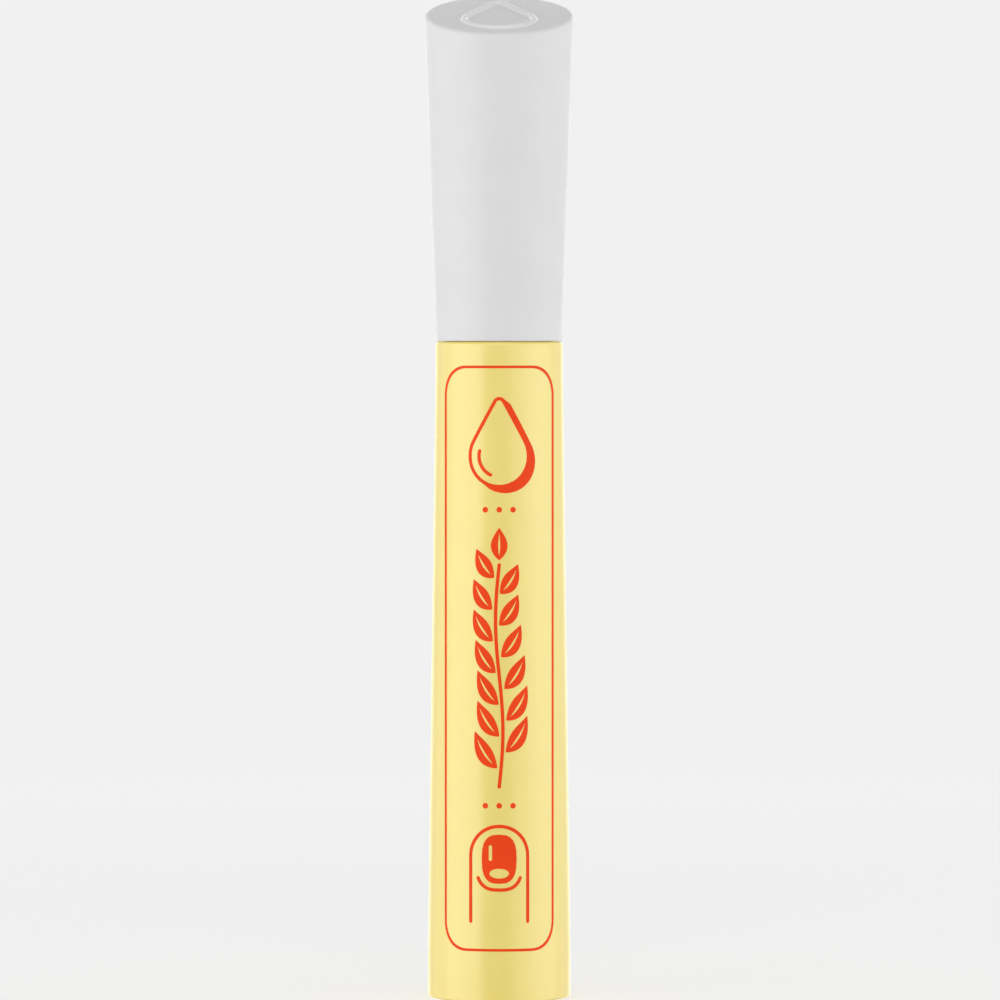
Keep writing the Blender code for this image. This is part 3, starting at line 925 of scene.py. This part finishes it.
def make_print_fingertip(material):
    """A fingertip in outline round a solid nail, with the nail's moon, glint and cuticle."""
    finger = [
        Vector((-FINGER_RADIUS, FINGER_BOTTOM)),
        *arc((0, FINGER_CENTRE), FINGER_RADIUS, 180, 0),
        Vector((FINGER_RADIUS, FINGER_BOTTOM)),
    ]
    centre = (0, NAIL_CENTRE)
    nail = oval(centre, NAIL_HALF_WIDTH, NAIL_HALF_LENGTH, squareness=NAIL_SQUARENESS)[:-1]
    moon = oval((0, MOON_CENTRE), MOON_HALF_WIDTH, MOON_HALF_HEIGHT)[:-1]
    glint_low = Vector((-NAIL_HALF_WIDTH / 2, NAIL_CENTRE))
    glint = stroke([glint_low, glint_low + Vector((0, NAIL_HALF_LENGTH / 2))], DRAWN_LINE)
    cuticle = oval(
        centre,
        NAIL_HALF_WIDTH + CUTICLE_GAP,
        NAIL_HALF_LENGTH + CUTICLE_GAP,
        *CUTICLE_ARC,
        squareness=NAIL_SQUARENESS,
    )
    shapes = [[stroke(finger, DRAWN_LINE)], [nail, moon, glint], [stroke(cuticle, DRAWN_LINE)]]
    return printed("print_fingertip", shapes, material)


def make_print_dots(material):
    """Three small dots between one motif and the next."""
    shapes = []
    for z in DOT_ROWS:
        for i in (-1, 0, 1):
            shapes.append([oval((i * DOT_PITCH, z), DOT_RADIUS, DOT_RADIUS)[:-1]])
    return printed("print_dots", shapes, material)


def make_relief(material):
    """A raised round line that draws a drop on the cap's slanted top."""
    form = bmesh.new()
    centre = (0, RELIEF_SHIFT)
    loops = []
    for i in range(RELIEF_STEPS + 1):
        share = i / RELIEF_STEPS
        side = RELIEF_WIDTH * (share - 0.5)
        rise = RELIEF_HEIGHT * abs(math.sin(math.pi * share)) ** RELIEF_FULLNESS - RELIEF_ROOT
        flat = drop(centre, RELIEF_RADIUS + side, RELIEF_LENGTH, RELIEF_TIP_RADIUS + side)
        loops.append([form.verts.new((p.x, p.y, rise)) for p in flat])
    for inner, outer in zip(loops, loops[1:] + loops[:1]):
        for i in range(len(inner)):
            form.faces.new((inner[i - 1], inner[i], outer[i], outer[i - 1]))
    place = Matrix.Translation((0, 0, CAP_TOP_HEIGHT)) @ Matrix.Rotation(CAP_TOP_SLANT, 4, "X")
    form.transform(place)
    return linked("cap_relief", form, material)


# Studio


def grey(level):
    """A grey, as a colour input takes it."""
    return (level, level, level, 1)


def seen_directly(tree):
    """1 for rays that show the background: straight, mirrored or through something clear."""
    rays = add(tree, "LightPath", {}).outputs
    plain = {0: rays["Is Camera Ray"], 1: rays["Is Glossy Ray"]}
    opaque = add(tree, "Math", plain, operation="MAXIMUM").outputs["Value"]
    through = {0: opaque, 1: rays["Is Transmission Ray"]}
    return add(tree, "Math", through, operation="MAXIMUM").outputs["Value"]


def floor_material():
    """Matte near the pen, where it takes the shadow, and the plain background further away.

    From below it is clear.
    """
    material = bpy.data.materials.new("studio_floor")
    material.use_nodes = True
    tree = material.node_tree
    tree.nodes.clear()
    seen = seen_directly(tree)
    place = add(tree, "TexCoord", {}).outputs["Object"]
    away = add(tree, "VectorMath", {0: place}, operation="LENGTH").outputs["Value"]
    reach = {"Value": away, "From Min": FLOOR_FADE[0], "From Max": FLOOR_FADE[1], "To Max": seen}
    fade = add(tree, "MapRange", reach, interpolation_type="SMOOTHSTEP").outputs["Result"]
    lift = add(tree, "Math", {0: seen, 1: FLOOR_LIFT}, operation="MULTIPLY").outputs["Value"]
    matte = add(tree, "BsdfDiffuse", {"Color": grey(FLOOR_ALBEDO)}).outputs["BSDF"]
    glow = add(tree, "Emission", {"Color": grey(1), "Strength": lift}).outputs["Emission"]
    near = add(tree, "AddShader", {0: matte, 1: glow}).outputs["Shader"]
    far = add(tree, "Emission", {"Color": grey(BACKGROUND)}).outputs["Emission"]
    top = add(tree, "MixShader", {"Fac": fade, 1: near, 2: far}).outputs["Shader"]
    clear = add(tree, "BsdfTransparent", {}).outputs["BSDF"]
    back = add(tree, "NewGeometry", {}).outputs["Backfacing"]
    one_sided = add(tree, "MixShader", {"Fac": back, 1: top, 2: clear}).outputs["Shader"]
    add(tree, "OutputMaterial", {"Surface": one_sided})
    return material


def make_floor():
    """Pale floor under the pen. It shades nothing, and reflections don't show it."""
    form = bmesh.new()
    bmesh.ops.create_circle(form, cap_ends=True, radius=FLOOR_RADIUS, segments=FLOOR_SEGMENTS)
    floor = linked("floor", form, floor_material())
    floor.visible_shadow = False
    floor.visible_glossy = False


def make_world():
    """An even light all round, behind which the pale background is seen."""
    world = bpy.data.worlds.new("studio")
    bpy.context.scene.world = world
    world.use_nodes = True
    tree = world.node_tree
    tree.nodes.clear()
    light = add(tree, "Background", {"Color": grey(AMBIENT)}).outputs["Background"]
    backdrop = add(tree, "Background", {"Color": grey(BACKGROUND)}).outputs["Background"]
    mix = add(tree, "MixShader", {"Fac": seen_directly(tree), 1: light, 2: backdrop})
    add(tree, "OutputWorld", {"Surface": mix.outputs["Shader"]})


def soft_box(name, azimuth, elevation, distance, width, height, radiance):
    """A large lamp, unseen by the camera, that faces the pen's middle."""
    lamp = bpy.data.lights.new(name, "AREA")
    lamp.shape = "RECTANGLE"
    lamp.size = width
    lamp.size_y = height
    lamp.energy = radiance * math.pi * width * height
    box = bpy.data.objects.new(name, lamp)
    bpy.context.scene.collection.objects.link(box)
    box.visible_camera = False
    side, rise = math.radians(azimuth), math.radians(elevation)
    level = Vector((math.sin(side), -math.cos(side), 0))
    out = level * math.cos(rise) + Vector((0, 0, math.sin(rise)))
    middle = Vector((0, 0, (cad_low.z + cad_high.z) / 2))
    box.location = middle + out * distance
    box.rotation_mode = "QUATERNION"
    box.rotation_quaternion = out.to_track_quat("Z", "Y")


def make_camera():
    """The photograph's view: level with the joint, and tilted down a little."""
    camera = bpy.data.objects.new("camera", bpy.data.cameras.new("camera"))
    bpy.context.scene.collection.objects.link(camera)
    bpy.context.scene.camera = camera
    camera.data.sensor_width = SENSOR_WIDTH_MM
    camera.data.lens = SENSOR_WIDTH_MM * FOCAL_PIXELS / PICTURE_SIZE
    sideways = (PICTURE_SIZE / 2 - AXIS_COLUMN) / FOCAL_PIXELS * CAMERA_DISTANCE
    camera.location = (sideways, -CAMERA_DISTANCE, CAMERA_HEIGHT)
    tilt = math.atan((PICTURE_SIZE / 2 - HORIZON_ROW) / FOCAL_PIXELS)
    camera.rotation_euler = (math.pi / 2 - tilt, 0, 0)


def make_pen():
    """Makes the fine pieces and puts each on its body, and dresses the reservoir's solids."""
    finishes = make_finishes()
    yellow = finishes["barrel_yellow"]
    orange = finishes["print_orange"]
    pieces = [
        (make_barrel(yellow), "pen_body", "barrel", "barrel_yellow"),
        (make_end_plug(yellow), "pen_body", "end_plug", "barrel_yellow"),
        (make_nose(finishes["nose_white"]), "pen_body", "nose_section", "nose_white"),
        (make_nib(finishes["nib_felt"]), "pen_body", "nib", "nib_felt"),
        (make_print_frame(orange), "pen_body", None, "print_orange"),
        (make_print_drop(orange), "pen_body", None, "print_orange"),
        (make_print_sprig(orange), "pen_body", None, "print_orange"),
        (make_print_fingertip(orange), "pen_body", None, "print_orange"),
        (make_print_dots(orange), "pen_body", None, "print_orange"),
        (make_cap(finishes["cap_white"]), "cap", "cap_shell", "cap_white"),
        # The relief is the cap's white plastic, made glossier, and lightened a little as a
        # painted highlight.
        (make_relief(finishes["cap_polish_painted_highlight"]), "cap", None, "cap_white"),
        (make_liner(finishes["liner_natural"]), "cap", "inner_cap", "liner_natural"),
    ]
    for piece, body, stands_for, slot in pieces:
        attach(piece, body)
        if stands_for:
            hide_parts(stands_for)
    for name, finish in (
        ("reservoir_core", "reservoir_fibre"),
        ("reservoir_wrap", "reservoir_film"),
    ):
        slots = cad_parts[name].data.materials
        slots.clear()
        slots.append(finishes[finish])


def make_studio():
    """The floor, the light and the camera."""
    bpy.context.scene.view_settings.view_transform = "Standard"
    make_floor()
    make_world()
    for name, settings in SOFT_BOXES.items():
        soft_box(name, **settings)
    make_camera()


def main():
    """Makes the pen and its studio."""
    make_pen()
    make_studio()


main()
